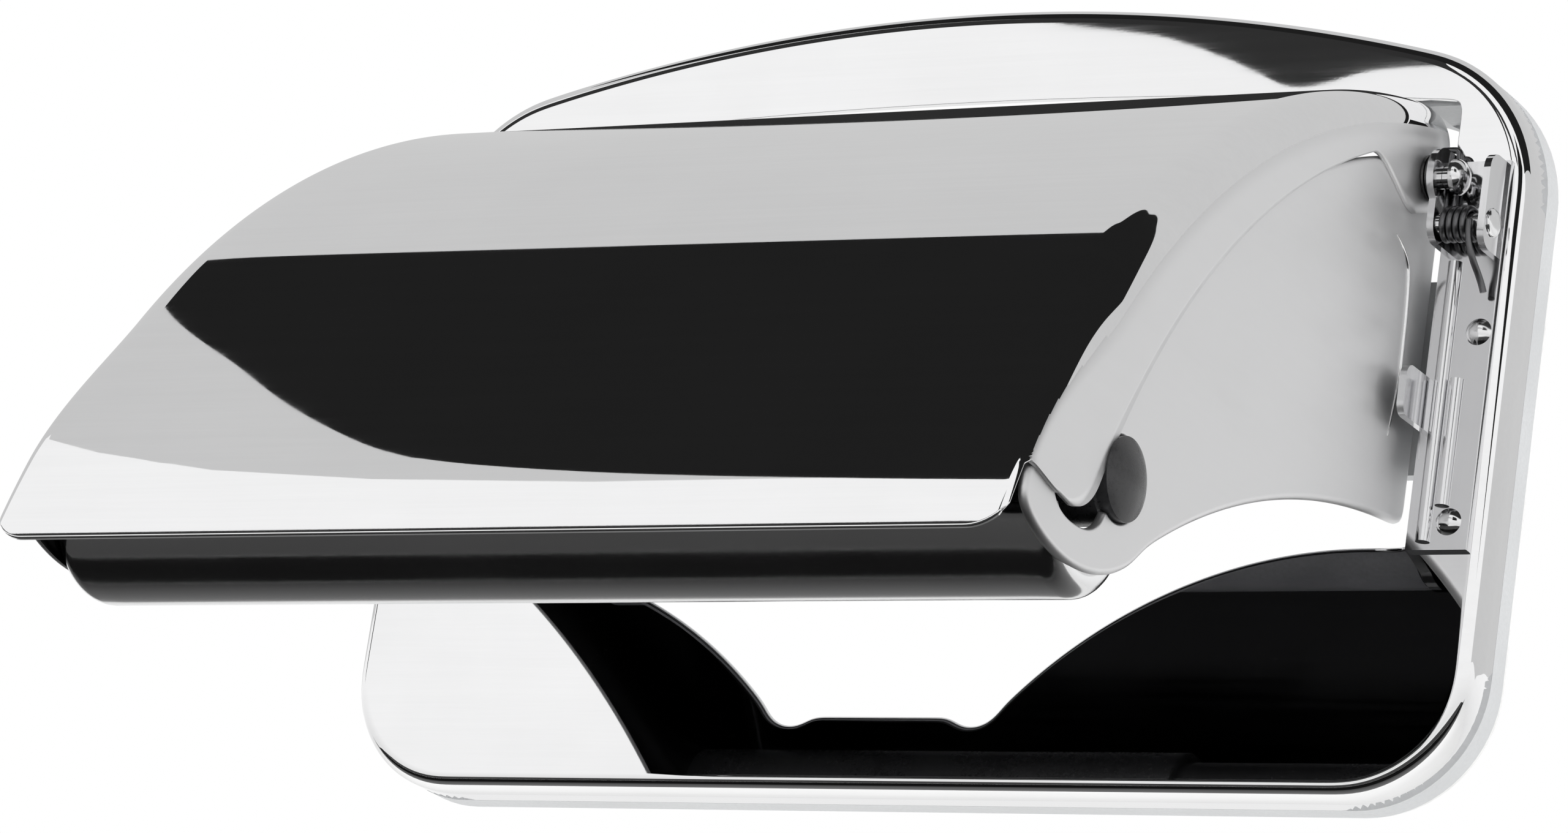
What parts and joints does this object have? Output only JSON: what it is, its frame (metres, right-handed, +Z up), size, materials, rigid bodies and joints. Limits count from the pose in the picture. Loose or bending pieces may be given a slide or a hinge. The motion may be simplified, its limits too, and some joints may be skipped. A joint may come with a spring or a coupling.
{
  "type": "wall-mounted roll dispenser",
  "caption": "Wall-mounted roll dispenser with a polished face plate, a sprung hinged hood, a telescoping spindle for the roll and a guide roller behind a rolled lip.",
  "frame": {"origin": "centre of the four wall-screw holes, on the wall's surface", "axes": "+X to the right, +Y into the wall, so the hood faces -Y, +Z up"},
  "size_m": [0.16, 0.1051, 0.1043],
  "materials": {
    "polished_steel": "mirror polished stainless steel with fine drawing lines",
    "hood_steel": "mirror polished stainless steel, bright outside",
    "frame_plastic": "satin pale grey moulding",
    "gasket_foam": "matt pale closed-cell foam",
    "bracket_steel": "bright rolled steel strip with drawing lines",
    "pin_steel": "bright turned steel",
    "spring_wire": "dark oiled spring wire",
    "dark_steel": "blackened steel washer",
    "black_plastic": "glossy black moulded plastic",
    "spindle_plastic": "satin dark grey moulded plastic",
    "buffer_rubber": "matt black rubber"
  },
  "bodies": {
    "wall_unit": {"face_plate": "polished_steel", "wall_frame": "frame_plastic", "wall_gasket": "gasket_foam", "hinge_bracket_left": "bracket_steel", "hinge_bracket_right": "bracket_steel", "bracket_rivets": "pin_steel", "spring_post_left": "pin_steel", "spring_post_right": "pin_steel", "torsion_spring_left": "spring_wire", "torsion_spring_right": "spring_wire", "roll_arm_left": "bracket_steel", "roll_arm_right": "bracket_steel", "arm_rivets": "pin_steel", "close_buffer_left": "buffer_rubber", "close_buffer_right": "buffer_rubber"},
    "hood": {"hood_shell": "hood_steel", "tear_lip": "hood_steel", "hinge_pin_left": "pin_steel", "hinge_pin_right": "pin_steel", "pin_washer_left": "dark_steel", "pin_washer_right": "dark_steel"},
    "guide_roller": {"roller_outer": "black_plastic", "roller_spring": "spring_wire"},
    "roller_tip": {"roller_inner": "black_plastic"},
    "spindle": {"spindle_outer": "spindle_plastic", "spindle_spring": "spring_wire"},
    "spindle_tip": {"spindle_inner": "spindle_plastic"}
  },
  "joints": [
    {"name": "hood_hinge", "type": "hinge", "parent": "wall_unit", "child": "hood", "pos_m": [0, -0.0142, 0.021], "axis": [-1, 0, 0], "range_deg": [0, 60], "stiffness_Nm_per_rad": 0.06, "springref_deg": -34.38, "deforming": ["torsion_spring_left", "torsion_spring_right"]},
    {"name": "roller_spin", "type": "hinge", "parent": "hood", "child": "guide_roller", "pos_m": [0, -0.08, -0.0383], "axis": [1, 0, 0], "continuous": true},
    {"name": "roller_press", "type": "slide", "parent": "guide_roller", "child": "roller_tip", "axis": [-1, 0, 0], "range_m": [0, 0.0033], "stiffness_N_per_m": 250, "springref_m": -0.008, "deforming": ["roller_spring"]},
    {"name": "spindle_spin", "type": "hinge", "parent": "wall_unit", "child": "spindle", "pos_m": [0, -0.0375, -0.015], "axis": [1, 0, 0], "continuous": true},
    {"name": "spindle_press", "type": "slide", "parent": "spindle", "child": "spindle_tip", "axis": [-1, 0, 0], "range_m": [0, 0.003], "stiffness_N_per_m": 250, "springref_m": -0.008, "deforming": ["spindle_spring"]}
  ]
}
